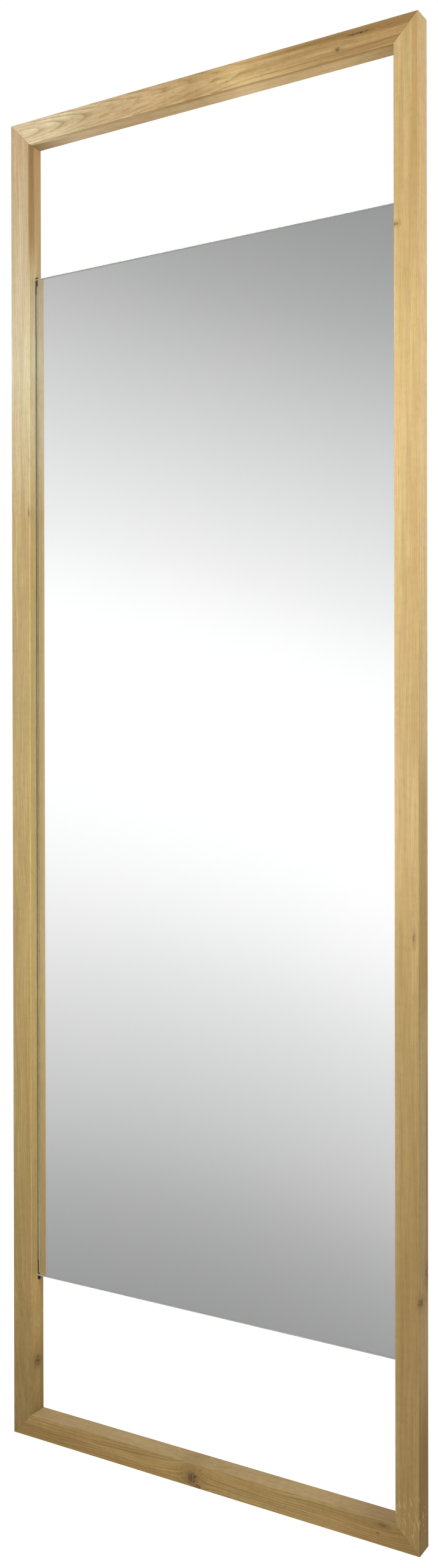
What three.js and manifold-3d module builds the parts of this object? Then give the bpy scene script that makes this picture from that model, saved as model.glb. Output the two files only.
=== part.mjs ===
// A full-length floor mirror that leans on a wall or hangs on it. Four oak members are mitred into
// a plain frame. A frameless pane sits in stopped grooves in the two stiles and leaves the frame
// open above and below it. Millimetres, +Z up, the front towards -Y. The origin is under the
// middle of the bottom rail.

import * as THREE from "three";
import { mergeVertices } from "three/addons/utils/BufferGeometryUtils.js";
import Module from "manifold-3d";

const wasm = await Module();
wasm.setup();

// ---- Driving dimensions ----

// The frame
const HEIGHT = 1800;
const WIDTH = 600;
const FACE = 31.5; // each member's width, seen from the front
const ARRIS = 1.5; // radius of the members' long edges
const MITRE_GAP = 0.3; // glue line between two members
const GAP_ABOVE = 180; // open height between the top rail and the pane
const GAP_BELOW = 186; // open height between the pane and the bottom rail

// The grooves in the stiles: front wall, groove, back wall
const FRONT_WALL = 13.5;
const BACK_WALL = 4.6;
const GROOVE_DEPTH = 9.5;
const GROOVE_ABOVE = 3.5; // how far the groove runs past the pane's top edge
const GROOVE_BELOW = 6.5; // how far it runs past the bottom edge, for the setting block

// The pane and what holds it
const GLASS = 4;
const GLASS_CHAMFER = 0.6;
const PANE_END_PLAY = 1; // between the pane's long edges and the grooves' floors
const BOARD = 3;
const BOARD_SETBACK = 3; // the board's free edges stay this far behind the glass's
const GLAZING_TAPE = 0.6;
const GLAZING_TAPE_WIDTH = 6;
const BOND_TAPE = 0.6;
const BOND_TAPE_WIDTH = 25;
const BOND_TAPE_COUNT = 4;
const TAPE_MARGIN = 20; // from a tape's end to the pane's edge
const BOND_LINE = 0.1; // between two faces that are stuck together
const GROOVE_PLAY = 0.3; // behind the board
const BLOCK_PLAY = 0.25; // round a setting block
const BLOCK_INSET = 1.5; // from a setting block to the stile's inner face

// Loose tenons in the mitres
const TENON_LENGTH = 26;
const TENON_WIDTH = 12;
const TENON_THICKNESS = 6;
const TENON_INSET = 3; // from the middle of the mitre towards the inner corner
const TENON_FIT = 0.3;

// Hangers: a folded strap, a D ring and two screws each
const PIVOT_BELOW_TOP = 130;
const STRAP_WIDTH = 13;
const STRAP_LENGTH = 38; // from the pivot to the strap's top end
const STRAP_PLATE = 1.6;
const STRAP_WALL = 0.8; // of the loop round the wire
const STRAP_END_RADIUS = 4;
const SEAT = 0.15; // between the strap and the wood
const WIRE = 2.5; // diameter of the ring's wire
const WIRE_PLAY = 0.35; // between the wire and the loop
const RING_SIDE_PLAY = 1.25; // between the ring and the strap's edges
const RING_DROP = 16; // from the pivot to the bow's wire centre
const RING_CORNER = 3;
const RING_BUTT_GAP = 0.4; // where the wire's two ends meet, inside the loop
const SCREW_HEIGHTS = [9, 27]; // above the pivot
const SCREW_LENGTH = 14;
const SCREW_SHANK = 3.2;
const SCREW_TIP = 4; // length of the pointed end
const SCREW_HEAD = 6.6;
const SCREW_HEAD_HEIGHT = 2;
const SCREW_RECESS = 1.1; // depth of the cross
const SCREW_RECESS_SPAN = 3.6;
const SCREW_RECESS_SLOT = 0.8;
const SCREW_HOLE_PLAY = 0.4; // round the shank in the strap
const PILOT_PLAY = 0.15; // round the shank in the wood

// Wall bumpers
const BUMPER_RADIUS = 6;
const BUMPER_HEIGHT = 3;
const BUMPER_ROUND = 1;
const BUMPER_FROM_SIDE = 60;

// ---- Places that follow from them ----

const GROOVE_WIDTH = 4 * BOND_LINE + GLAZING_TAPE + GLASS + BOND_TAPE + BOARD + GROOVE_PLAY;
const DEPTH = FRONT_WALL + GROOVE_WIDTH + BACK_WALL;
const FRONT = -DEPTH / 2;
const BACK = DEPTH / 2;
const GROOVE_FRONT = FRONT + FRONT_WALL;

const PANE_BOTTOM = FACE + GAP_BELOW;
const PANE_TOP = HEIGHT - FACE - GAP_ABOVE;
const OPENING_WIDTH = WIDTH - 2 * FACE;
const PANE_HOLD = GROOVE_DEPTH - PANE_END_PLAY;
const PANE_WIDTH = OPENING_WIDTH + 2 * PANE_HOLD;

const GLAZING_TAPE_FRONT = GROOVE_FRONT + BOND_LINE;
const GLASS_FRONT = GLAZING_TAPE_FRONT + GLAZING_TAPE + BOND_LINE;
const BOND_TAPE_FRONT = GLASS_FRONT + GLASS + BOND_LINE;
const BOARD_FRONT = BOND_TAPE_FRONT + BOND_TAPE + BOND_LINE;

const LOOP_RADIUS = WIRE / 2 + WIRE_PLAY + STRAP_WALL;
const STRAP_BACK = BACK + SEAT + STRAP_PLATE;
const PIVOT_Y = BACK + SEAT + LOOP_RADIUS;
const PIVOT_Z = HEIGHT - PIVOT_BELOW_TOP;
const RING_HALF_WIDTH = STRAP_WIDTH / 2 + RING_SIDE_PLAY + WIRE / 2; // to the wire's centre

const SIDES = [
  { name: "left", sign: -1 },
  { name: "right", sign: 1 },
];
const ENDS = [
  { name: "top", sign: 1, outer: HEIGHT },
  { name: "bottom", sign: -1, outer: 0 },
];
const stileX = (side) => (side.sign * (WIDTH - FACE)) / 2;
const railZ = (end) => end.outer - (end.sign * FACE) / 2;

// ---- Materials ----

const finish = (color, roughness, metalness = 0) =>
  new THREE.MeshStandardMaterial({ color, roughness, metalness });
const oak = finish(0xc3a069, 0.55);
const beech = finish(0xd9b98c, 0.6);
const silvered = finish(0xd8dadb, 0.03, 1);
const hardboard = finish(0x7a5a3c, 0.8);
const tape = finish(0xe8e6df, 0.7);
const rubber = finish(0x24231f, 0.85);
const steel = finish(0xb9bbbd, 0.35, 1);

// ---- Solids ----

// A closed geometry as a solid that can be cut and joined.
function solid(geometry) {
  const bare = geometry.clone();
  bare.deleteAttribute("normal");
  bare.deleteAttribute("uv");
  const merged = mergeVertices(bare, 1e-4);
  return new wasm.Manifold(
    new wasm.Mesh({
      numProp: 3,
      vertProperties: new Float32Array(merged.attributes.position.array),
      triVerts: new Uint32Array(merged.index.array),
    }),
  );
}

function geometryOf(made) {
  const { vertProperties, triVerts } = made.getMesh();
  const geometry = new THREE.BufferGeometry();
  geometry.setAttribute("position", new THREE.BufferAttribute(vertProperties, 3));
  geometry.setIndex(new THREE.BufferAttribute(triVerts, 1));
  geometry.computeVertexNormals();
  return geometry;
}

// The geometry with every tool cut out of it.
function cut(geometry, tools) {
  return geometryOf(tools.reduce((rest, tool) => rest.subtract(solid(tool)), solid(geometry)));
}

// A flat outline made solid between two places on an axis. Along x the outline is drawn in Y and
// Z, along y in X and Z, and along z in X and Y.
function prism(axis, outline, low, high, segments = 8) {
  const geometry = new THREE.ExtrudeGeometry(outline, {
    depth: high - low,
    bevelEnabled: false,
    curveSegments: segments,
  });
  return lay(geometry, axis, low, high);
}

function lay(geometry, axis, low, high) {
  const x = new THREE.Vector3(1, 0, 0);
  const y = new THREE.Vector3(0, 1, 0);
  const z = new THREE.Vector3(0, 0, 1);
  const turn = new THREE.Matrix4();
  if (axis === "x") turn.makeBasis(y, z, x).setPosition(low, 0, 0);
  if (axis === "y") turn.makeBasis(x, z, y.clone().negate()).setPosition(0, high, 0);
  if (axis === "z") turn.setPosition(0, 0, low);
  return geometry.applyMatrix4(turn);
}

function polygon(points) {
  return new THREE.Shape(points.map(([x, y]) => new THREE.Vector2(x, y)));
}

function roundedRectangle(centreX, centreY, width, height, radius) {
  const right = centreX + width / 2 - radius;
  const left = centreX - width / 2 + radius;
  const top = centreY + height / 2 - radius;
  const bottom = centreY - height / 2 + radius;
  return new THREE.Shape()
    .moveTo(right + radius, bottom)
    .absarc(right, top, radius, 0, Math.PI / 2, false)
    .absarc(left, top, radius, Math.PI / 2, Math.PI, false)
    .absarc(left, bottom, radius, Math.PI, 1.5 * Math.PI, false)
    .absarc(right, bottom, radius, 1.5 * Math.PI, 2 * Math.PI, false);
}

// A slot with two round ends.
function slot(centreX, width, low, high) {
  const radius = width / 2;
  return new THREE.Shape()
    .moveTo(centreX + radius, low + radius)
    .absarc(centreX, high - radius, radius, 0, Math.PI, false)
    .absarc(centreX, low + radius, radius, Math.PI, 2 * Math.PI, false);
}

// ---- Corner tenons ----

// A loose tenon square to the mitre, grown by `play` on every side to make its mortise.
function tenon(side, end, play = 0) {
  const length = TENON_LENGTH + 2 * play;
  const reach = TENON_WIDTH / 2 + play;
  const outline = slot(0, TENON_THICKNESS + 2 * play, -reach, reach);
  const geometry = new THREE.ExtrudeGeometry(outline, {
    depth: length,
    bevelEnabled: false,
    curveSegments: 6,
  });
  const inward = new THREE.Vector3(-side.sign, 0, -end.sign).normalize();
  const front = new THREE.Vector3(0, -1, 0);
  const across = front.clone().cross(inward);
  const place = new THREE.Vector3(stileX(side), 0, railZ(end))
    .addScaledVector(inward, TENON_INSET)
    .addScaledVector(across, -length / 2);
  return geometry.applyMatrix4(
    new THREE.Matrix4().makeBasis(front, inward, across).setPosition(place),
  );
}

// ---- Frame members ----

// Half the glue line, measured along a member.
const MITRE_TRIM = MITRE_GAP / Math.SQRT2;

function rail(end) {
  const inner = end.outer - end.sign * FACE;
  const longHalf = WIDTH / 2 - MITRE_TRIM;
  const shortHalf = longHalf - FACE;
  const bar = prism(
    "x",
    roundedRectangle(0, railZ(end), DEPTH, FACE, ARRIS),
    -WIDTH / 2,
    WIDTH / 2,
    4,
  );
  const outline = polygon([
    [-longHalf, end.outer],
    [longHalf, end.outer],
    [shortHalf, inner],
    [-shortHalf, inner],
  ]);
  const mitred = solid(bar).intersect(solid(prism("y", outline, FRONT - 1, BACK + 1)));
  return cut(geometryOf(mitred), SIDES.map((side) => tenon(side, end, TENON_FIT)));
}

function stile(side) {
  const outer = (side.sign * WIDTH) / 2;
  const inner = (side.sign * OPENING_WIDTH) / 2;
  const bar = prism(
    "z",
    roundedRectangle(stileX(side), 0, FACE, DEPTH, ARRIS),
    0,
    HEIGHT,
    4,
  );
  const outline = polygon([
    [outer, MITRE_TRIM],
    [inner, FACE + MITRE_TRIM],
    [inner, HEIGHT - FACE - MITRE_TRIM],
    [outer, HEIGHT - MITRE_TRIM],
  ]);
  const mitred = solid(bar).intersect(solid(prism("y", outline, FRONT - 1, BACK + 1)));
  return cut(geometryOf(mitred), [
    groove(side),
    ...ENDS.map((end) => tenon(side, end, TENON_FIT)),
    ...SCREW_HEIGHTS.map((height) => pilotHole(side, height)),
  ]);
}

// From just outside the stile's inner face to the bottom of the groove.
function groove(side) {
  const mouth = OPENING_WIDTH / 2 - 1;
  const floor = OPENING_WIDTH / 2 + GROOVE_DEPTH;
  const outline = slot(
    GROOVE_FRONT + GROOVE_WIDTH / 2,
    GROOVE_WIDTH,
    PANE_BOTTOM - GROOVE_BELOW,
    PANE_TOP + GROOVE_ABOVE,
  );
  return side.sign > 0 ? prism("x", outline, mouth, floor) : prism("x", outline, -floor, -mouth);
}

// ---- The pane ----

function mirrorGlass() {
  const outline = polygon([
    [-PANE_WIDTH / 2, PANE_BOTTOM],
    [PANE_WIDTH / 2, PANE_BOTTOM],
    [PANE_WIDTH / 2, PANE_TOP],
    [-PANE_WIDTH / 2, PANE_TOP],
  ]);
  const geometry = new THREE.ExtrudeGeometry(outline, {
    depth: GLASS - 2 * GLASS_CHAMFER,
    bevelThickness: GLASS_CHAMFER,
    bevelSize: GLASS_CHAMFER,
    bevelOffset: -GLASS_CHAMFER,
    bevelSegments: 1,
  });
  return lay(geometry, "y", GLASS_FRONT + GLASS_CHAMFER, GLASS_FRONT + GLASS - GLASS_CHAMFER);
}

// A flat strip or sheet whose front face is at y.
function sheet(width, thickness, low, high, x, y) {
  return new THREE.BoxGeometry(width, thickness, high - low).translate(
    x,
    y + thickness / 2,
    (low + high) / 2,
  );
}

function backingBoard() {
  const low = PANE_BOTTOM + BOARD_SETBACK;
  return sheet(PANE_WIDTH, BOARD, low, PANE_TOP - BOARD_SETBACK, 0, BOARD_FRONT);
}

function bondTape(index) {
  const span = PANE_WIDTH - 2 * TAPE_MARGIN - BOND_TAPE_WIDTH;
  const x = -span / 2 + (span * index) / (BOND_TAPE_COUNT - 1);
  const low = PANE_BOTTOM + TAPE_MARGIN;
  return sheet(BOND_TAPE_WIDTH, BOND_TAPE, low, PANE_TOP - TAPE_MARGIN, x, BOND_TAPE_FRONT);
}

// It lies at the bottom of the groove, out of sight behind the front wall.
function glazingTape(side) {
  const x = side.sign * (OPENING_WIDTH / 2 + PANE_HOLD - GLAZING_TAPE_WIDTH / 2);
  const low = PANE_BOTTOM + TAPE_MARGIN;
  return sheet(GLAZING_TAPE_WIDTH, GLAZING_TAPE, low, PANE_TOP - TAPE_MARGIN, x, GLAZING_TAPE_FRONT);
}

// A block shaped to the groove's round lower end, with a flat top under the glass.
function settingBlock(side) {
  const radius = GROOVE_WIDTH / 2 - BLOCK_PLAY;
  const centreY = GROOVE_FRONT + GROOVE_WIDTH / 2;
  const centreZ = PANE_BOTTOM - GROOVE_BELOW + GROOVE_WIDTH / 2;
  const top = PANE_BOTTOM - BOND_LINE;
  const outline = new THREE.Shape()
    .moveTo(centreY + radius, top)
    .lineTo(centreY - radius, top)
    .absarc(centreY, centreZ, radius, Math.PI, 2 * Math.PI, false);
  const near = OPENING_WIDTH / 2 + BLOCK_INSET;
  const far = OPENING_WIDTH / 2 + GROOVE_DEPTH - BLOCK_PLAY;
  return side.sign > 0 ? prism("x", outline, near, far) : prism("x", outline, -far, -near);
}

// ---- Hangers ----

// Sheet steel folded round the ring's wire and pressed flat into a plate above it.
function hangerStrap(side) {
  const wall = BACK + SEAT;
  const rise = Math.sqrt(LOOP_RADIUS ** 2 - (LOOP_RADIUS - STRAP_PLATE) ** 2);
  const meet = Math.atan2(rise, STRAP_PLATE - LOOP_RADIUS);
  const top = PIVOT_Z + STRAP_LENGTH;
  const fold = new THREE.Shape()
    .moveTo(wall, top)
    .lineTo(wall + STRAP_PLATE, top)
    .absarc(PIVOT_Y, PIVOT_Z, LOOP_RADIUS, meet, -Math.PI, true);
  fold.holes.push(new THREE.Path().absarc(PIVOT_Y, PIVOT_Z, LOOP_RADIUS - STRAP_WALL, 0, 2 * Math.PI));
  const x = stileX(side);
  const strip = prism("x", fold, x - STRAP_WIDTH / 2, x + STRAP_WIDTH / 2, 12);
  const bottom = PIVOT_Z - LOOP_RADIUS - STRAP_END_RADIUS;
  const plan = roundedRectangle(x, (top + bottom) / 2, STRAP_WIDTH, top - bottom, STRAP_END_RADIUS);
  const rounded = solid(strip).intersect(solid(prism("y", plan, BACK, BACK + 4 * LOOP_RADIUS, 4)));
  return cut(geometryOf(rounded), SCREW_HEIGHTS.map((height) => strapHole(side, height)));
}

// A round hole square to the back of the frame.
function holeThrough(side, height, radius, low, high) {
  return new THREE.CylinderGeometry(radius, radius, high - low, 16).translate(
    stileX(side),
    (low + high) / 2,
    PIVOT_Z + height,
  );
}

function strapHole(side, height) {
  return holeThrough(side, height, SCREW_SHANK / 2 + SCREW_HOLE_PLAY, BACK - 1, STRAP_BACK + 1);
}

function pilotHole(side, height) {
  const depth = SCREW_LENGTH - SEAT - STRAP_PLATE + 1;
  return holeThrough(side, height, SCREW_SHANK / 2 + PILOT_PLAY, BACK - depth, BACK + 1);
}

// Wire bent to a D, with its two ends meeting in the middle of the straight bar.
function hangerRing() {
  const point = (x, z) => new THREE.Vector3(x, 0, z);
  const half = RING_HALF_WIDTH;
  const corner = RING_CORNER;
  const route = new THREE.CurvePath();
  const start = RING_BUTT_GAP / 2;
  route.add(new THREE.LineCurve3(point(-start, 0), point(-half + corner, 0)));
  route.add(
    new THREE.QuadraticBezierCurve3(point(-half + corner, 0), point(-half, 0), point(-half, -corner)),
  );
  route.add(
    new THREE.CubicBezierCurve3(
      point(-half, -corner),
      point(-half, -RING_DROP * 0.75),
      point(-half * 0.6, -RING_DROP),
      point(0, -RING_DROP),
    ),
  );
  route.add(
    new THREE.CubicBezierCurve3(
      point(0, -RING_DROP),
      point(half * 0.6, -RING_DROP),
      point(half, -RING_DROP * 0.75),
      point(half, -corner),
    ),
  );
  route.add(
    new THREE.QuadraticBezierCurve3(point(half, -corner), point(half, 0), point(half - corner, 0)),
  );
  route.add(new THREE.LineCurve3(point(half - corner, 0), point(start, 0)));
  const section = new THREE.Shape().absarc(0, 0, WIRE / 2, 0, 2 * Math.PI, false);
  return new THREE.ExtrudeGeometry(section, { extrudePath: route, steps: 44, curveSegments: 5 });
}

// A pan head on the strap, a shank and a point, turned about the screw's own axis.
function hangerScrew() {
  const shank = SCREW_SHANK / 2;
  const head = SCREW_HEAD / 2;
  const profile = [
    [0, -SCREW_LENGTH],
    [shank, -SCREW_LENGTH + SCREW_TIP],
    [shank, 0],
    [head, 0],
    [head, SCREW_HEAD_HEIGHT * 0.35],
    [head * 0.85, SCREW_HEAD_HEIGHT * 0.75],
    [head * 0.5, SCREW_HEAD_HEIGHT],
    [0, SCREW_HEAD_HEIGHT],
  ].map(([radius, y]) => new THREE.Vector2(radius, y));
  const slotHeight = SCREW_HEAD_HEIGHT + 1;
  const bottom = SCREW_HEAD_HEIGHT - SCREW_RECESS;
  const arm = (width, length) =>
    new THREE.BoxGeometry(width, slotHeight, length).translate(0, bottom + slotHeight / 2, 0);
  return cut(new THREE.LatheGeometry(profile, 16), [
    arm(SCREW_RECESS_SPAN, SCREW_RECESS_SLOT),
    arm(SCREW_RECESS_SLOT, SCREW_RECESS_SPAN),
  ]);
}

// ---- Wall bumpers ----

// A round rubber button with its foot on the wood.
function wallBumper() {
  const profile = new THREE.Path()
    .moveTo(0, 0)
    .lineTo(BUMPER_RADIUS, 0)
    .lineTo(BUMPER_RADIUS, BUMPER_HEIGHT - BUMPER_ROUND)
    .absarc(
      BUMPER_RADIUS - BUMPER_ROUND,
      BUMPER_HEIGHT - BUMPER_ROUND,
      BUMPER_ROUND,
      0,
      Math.PI / 2,
      false,
    )
    .lineTo(0, BUMPER_HEIGHT);
  return new THREE.LatheGeometry(profile.getPoints(4), 20);
}

// ---- The mirror ----

const mirror = new THREE.Group();

function add(name, geometry, material, parent = mirror) {
  const mesh = new THREE.Mesh(geometry, material);
  mesh.name = name;
  parent.add(mesh);
  return mesh;
}

SIDES.forEach((side) => add(`${side.name}_stile`, stile(side), oak));
ENDS.forEach((end) => add(`${end.name}_rail`, rail(end), oak));
ENDS.forEach((end) =>
  SIDES.forEach((side) => add(`corner_tenon_${end.name}_${side.name}`, tenon(side, end), beech)),
);

add("mirror_glass", mirrorGlass(), silvered);
add("backing_board", backingBoard(), hardboard);
for (let index = 0; index < BOND_TAPE_COUNT; index += 1) {
  add(`bond_tape_${index + 1}`, bondTape(index), tape);
}
SIDES.forEach((side) => add(`glazing_tape_${side.name}`, glazingTape(side), tape));
SIDES.forEach((side) => add(`setting_block_${side.name}`, settingBlock(side), rubber));

ENDS.forEach((end) =>
  SIDES.forEach((side) => {
    const bumper = add(`wall_bumper_${end.name}_${side.name}`, wallBumper(), rubber);
    bumper.position.set(
      side.sign * (WIDTH / 2 - BUMPER_FROM_SIDE),
      BACK + BOND_LINE,
      railZ(end),
    );
  }),
);

SIDES.forEach((side) => {
  add(`hanger_strap_${side.name}`, hangerStrap(side), steel);
  const hanger = new THREE.Group();
  hanger.position.set(stileX(side), PIVOT_Y, PIVOT_Z);
  mirror.add(hanger);
  add(`hanger_ring_${side.name}`, hangerRing(), steel, hanger);
  SCREW_HEIGHTS.forEach((height, index) => {
    const place = index === 0 ? "lower" : "upper";
    const screw = add(`hanger_screw_${side.name}_${place}`, hangerScrew(), steel, hanger);
    screw.position.set(0, STRAP_BACK + BOND_LINE - PIVOT_Y, height);
  });
});

export default mirror;
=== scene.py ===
from math import pi, radians

import bmesh
import bpy
from mathutils import Matrix, Vector


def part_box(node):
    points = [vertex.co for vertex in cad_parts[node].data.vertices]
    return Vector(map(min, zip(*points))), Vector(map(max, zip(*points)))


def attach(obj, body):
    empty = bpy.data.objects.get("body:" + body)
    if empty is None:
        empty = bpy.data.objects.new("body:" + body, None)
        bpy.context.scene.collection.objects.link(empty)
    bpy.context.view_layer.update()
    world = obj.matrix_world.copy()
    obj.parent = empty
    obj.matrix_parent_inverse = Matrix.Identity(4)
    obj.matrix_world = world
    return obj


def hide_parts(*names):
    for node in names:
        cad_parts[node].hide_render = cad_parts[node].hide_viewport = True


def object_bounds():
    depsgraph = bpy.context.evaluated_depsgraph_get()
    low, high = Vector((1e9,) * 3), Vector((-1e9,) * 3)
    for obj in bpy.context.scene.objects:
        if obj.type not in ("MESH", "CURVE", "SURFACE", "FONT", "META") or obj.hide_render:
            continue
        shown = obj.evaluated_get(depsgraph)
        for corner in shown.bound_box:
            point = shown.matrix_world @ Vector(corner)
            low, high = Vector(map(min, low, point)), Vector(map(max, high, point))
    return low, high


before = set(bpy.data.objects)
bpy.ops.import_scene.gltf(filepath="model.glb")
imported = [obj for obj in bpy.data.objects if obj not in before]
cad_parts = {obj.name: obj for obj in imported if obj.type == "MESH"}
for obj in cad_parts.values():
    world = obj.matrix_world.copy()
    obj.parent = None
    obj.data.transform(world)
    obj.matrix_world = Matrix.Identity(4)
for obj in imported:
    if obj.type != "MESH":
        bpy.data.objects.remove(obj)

cad_low, cad_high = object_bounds()
scene = bpy.context.scene
MM = 0.001
TOUCHING = 1e-6  # metres: two points this close are one


# ---- The camera ----
# A 32 mm lens, 1.5 m in front of the mirror and 0.9 m to its right, at chest height and level.
# The shift keeps the whole frame in view without tipping the uprights.
camera_lens = bpy.data.cameras.new("camera")
camera_lens.lens = 32.286
camera_lens.sensor_width = 36
camera_lens.shift_y = -0.01897
camera = bpy.data.objects.new("camera", camera_lens)
camera.location = (0.92839, -1.53975, 0.94362)
camera.rotation_euler = (radians(89.758), radians(0.104), radians(30.469))
scene.collection.objects.link(camera)
scene.camera = camera


# ---- The studio ----
# A white floor and a white cove that only the camera sees, a dim warm room for the fill, three soft
# lights, and a curved card in front of the pane. The card is what the mirror shows: a bright band
# at chest height that fades to grey above and below, a little out of level.
FLOOR_SIZE = 30.0
FLOOR_BELOW = 0.0004
COVE_RADIUS = 14.0
CARD_RADIUS = 0.75
CARD_LOW = -0.35
CARD_HIGH = 2.45
CARD_TILT = 0.305  # rise of the bright band for each metre to the left
CARD_LEVELS = (  # height in metres, and how bright the card is there
    (-0.35, 0.27),
    (0.05, 0.48),
    (0.45, 0.81),
    (0.82, 1.02),
    (1.15, 0.86),
    (1.65, 0.44),
    (2.25, 0.22),
)
LIGHTS = (  # name, place, the point it is aimed at, width and height, its grid's spread, watts
    ("front_light", (-0.3, -2.2, 1.3), (0, 0, 1.3), (0.9, 0.9), 80, 9.0),
    ("side_light", (1.95, -0.62, 1.5), (0.2, 0, 1.42), (0.8, 0.8), 66, 3.4),
    ("back_light", (0.6, 2.6, 1.5), (0, 0, 1.1), (1.4, 1.4), 120, 16.0),
    # Strips for what a real pane throws sideways on the stiles' inner faces.
    ("pane_bounce_left", (0.02, -0.03, 0.9), (-0.27, 0, 0.9), (0.03, 1.3), 180, 1.5),
    ("pane_bounce_right", (-0.02, -0.03, 0.9), (0.27, 0, 0.9), (0.03, 1.3), 180, 1.5),
    # Hairlines for what its edges throw inside the grooves, where clear glass lets no light in.
    ("edge_glow_left", (-0.2697, 0.0005, 0.9), (-0.2697, -1, 0.9), (0.002, 1.36), 180, 0.009),
    ("edge_glow_right", (0.2697, 0.0005, 0.9), (0.2697, -1, 0.9), (0.002, 1.36), 180, 0.009),
)
LIGHT_COLOUR = "FAFDFF"
FILL_ABOVE = (0.37, 0.31, 0.24)  # the room's linear colour overhead, and from the floor's side
FILL_BELOW = (0.62, 0.51, 0.37)
FILL_CHANGE = 0.3  # how far from level the one turns into the other


def linear(code):
    """An sRGB hex colour as linear red, green, blue and alpha."""
    parts = [int(code[i : i + 2], 16) / 255 for i in (0, 2, 4)]
    return [c / 12.92 if c <= 0.04045 else ((c + 0.055) / 1.055) ** 2.4 for c in parts] + [1]


def add_node(tree, kind, settings=None, links=None, stops=None):
    """Adds a node with its settings. Each entry of links sets an input, or links an output to it."""
    node = tree.nodes.new(kind)
    for name, value in (settings or {}).items():
        setattr(node, name, value)
    for name, value in (links or {}).items():
        if isinstance(value, bpy.types.NodeSocket):
            tree.links.new(value, node.inputs[name])
        else:
            node.inputs[name].default_value = value
    for index, (place, shade) in enumerate(stops or ()):
        ramp = node.color_ramp.elements
        stop = ramp[index] if index < 2 else ramp.new(place)
        stop.position = place
        stop.color = linear(shade) if isinstance(shade, str) else (shade, shade, shade, 1)
    return node


def new_material(name):
    """An empty material, its node tree, and its output's surface socket."""
    material = bpy.data.materials.new(name)
    material.use_nodes = True
    material.node_tree.nodes.clear()
    output = material.node_tree.nodes.new("ShaderNodeOutputMaterial")
    return material, material.node_tree, output.inputs["Surface"]


def new_object(name, bm, *materials):
    """Makes an object at the origin from a bmesh in its final place."""
    mesh = bpy.data.meshes.new(name)
    bm.to_mesh(mesh)
    bm.free()
    for material in materials:
        mesh.materials.append(material)
    made = bpy.data.objects.new(name, mesh)
    scene.collection.objects.link(made)
    return made


def add_light(name, place, aim, size, spread, watts):
    """A soft light behind a grid, which the mirror doesn't show."""
    lamp = bpy.data.lights.new(name, "AREA")
    lamp.shape = "RECTANGLE"
    lamp.size, lamp.size_y = size
    lamp.spread = radians(spread)
    lamp.energy = watts
    lamp.color = linear(LIGHT_COLOUR)[:3]
    made = bpy.data.objects.new(name, lamp)
    made.location = place
    made.rotation_euler = (Vector(aim) - Vector(place)).to_track_quat("-Z", "Y").to_euler()
    made.visible_camera = False
    made.visible_glossy = False
    made.visible_transmission = False
    scene.collection.objects.link(made)


# The floor glows almost white by itself, and takes only a faint shadow where the frame stands.
white_floor, tree, surface = new_material("white_floor")
glow = add_node(tree, "ShaderNodeEmission", links={"Color": linear("FFFFFF"), "Strength": 0.95})
paint = add_node(tree, "ShaderNodeBsdfDiffuse", links={"Color": linear("8C8C8C")})
both = add_node(tree, "ShaderNodeAddShader", links={0: glow.outputs[0], 1: paint.outputs[0]})
tree.links.new(both.outputs[0], surface)
bm = bmesh.new()
bmesh.ops.create_grid(bm, size=FLOOR_SIZE / 2, matrix=Matrix.Translation((0, 0, -FLOOR_BELOW)))
floor = new_object("floor", bm, white_floor)

white_cove, tree, surface = new_material("white_cove")
glow = add_node(tree, "ShaderNodeEmission", links={"Color": linear("FFFFFF"), "Strength": 1.0})
tree.links.new(glow.outputs[0], surface)
bm = bmesh.new()
bmesh.ops.create_uvsphere(bm, u_segments=48, v_segments=24, radius=COVE_RADIUS)
cove = new_object("cove", bm, white_cove)

graded_card, tree, surface = new_material("graded_card")
coords = add_node(tree, "ShaderNodeTexCoord")
parts = add_node(tree, "ShaderNodeSeparateXYZ", links={0: coords.outputs["Object"]})
tilted = add_node(
    tree,
    "ShaderNodeMath",
    {"operation": "MULTIPLY_ADD"},
    {0: parts.outputs["X"], 1: CARD_TILT, 2: parts.outputs["Z"]},
)
height = add_node(
    tree,
    "ShaderNodeMapRange",
    links={"Value": tilted.outputs[0], "From Min": CARD_LOW, "From Max": CARD_HIGH},
)
span = CARD_HIGH - CARD_LOW
grade = add_node(
    tree,
    "ShaderNodeValToRGB",
    links={"Fac": height.outputs[0]},
    stops=[((place - CARD_LOW) / span, shade) for place, shade in CARD_LEVELS],
)
grade.color_ramp.interpolation = "CARDINAL"
glow = add_node(tree, "ShaderNodeEmission", links={"Color": grade.outputs[0], "Strength": 1.12})
tree.links.new(glow.outputs[0], surface)
bm = bmesh.new()
ends = [bmesh.ops.create_vert(bm, co=(CARD_RADIUS, 0, z))["vert"][0] for z in (CARD_LOW, CARD_HIGH)]
edge = bm.edges.new(ends)
bmesh.ops.spin(bm, geom=[*ends, edge], axis=(0, 0, 1), cent=(0, 0, 0), angle=-pi, steps=64)
card = new_object("reflected_card", bm, graded_card)
card.data.shade_smooth()

for unlit in (floor, cove):
    unlit.visible_diffuse = False
    unlit.visible_glossy = False
    unlit.visible_transmission = False
    unlit.visible_shadow = False
card.visible_camera = False
card.visible_diffuse = False
card.visible_shadow = False

for light in LIGHTS:
    add_light(*light)

room = bpy.data.worlds.new("room")
room.use_nodes = True
tree = room.node_tree
coords = add_node(tree, "ShaderNodeTexCoord")
parts = add_node(tree, "ShaderNodeSeparateXYZ", links={0: coords.outputs["Generated"]})
rise = add_node(
    tree,
    "ShaderNodeMapRange",
    links={"Value": parts.outputs["Z"], "From Min": -FILL_CHANGE, "From Max": FILL_CHANGE},
)
fill = add_node(
    tree,
    "ShaderNodeMix",
    {"data_type": "RGBA"},
    {0: rise.outputs[0], 6: (*FILL_BELOW, 1), 7: (*FILL_ABOVE, 1)},
)
tree.links.new(fill.outputs[2], tree.nodes["Background"].inputs["Color"])
scene.world = room
scene.view_settings.view_transform = "Standard"


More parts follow.
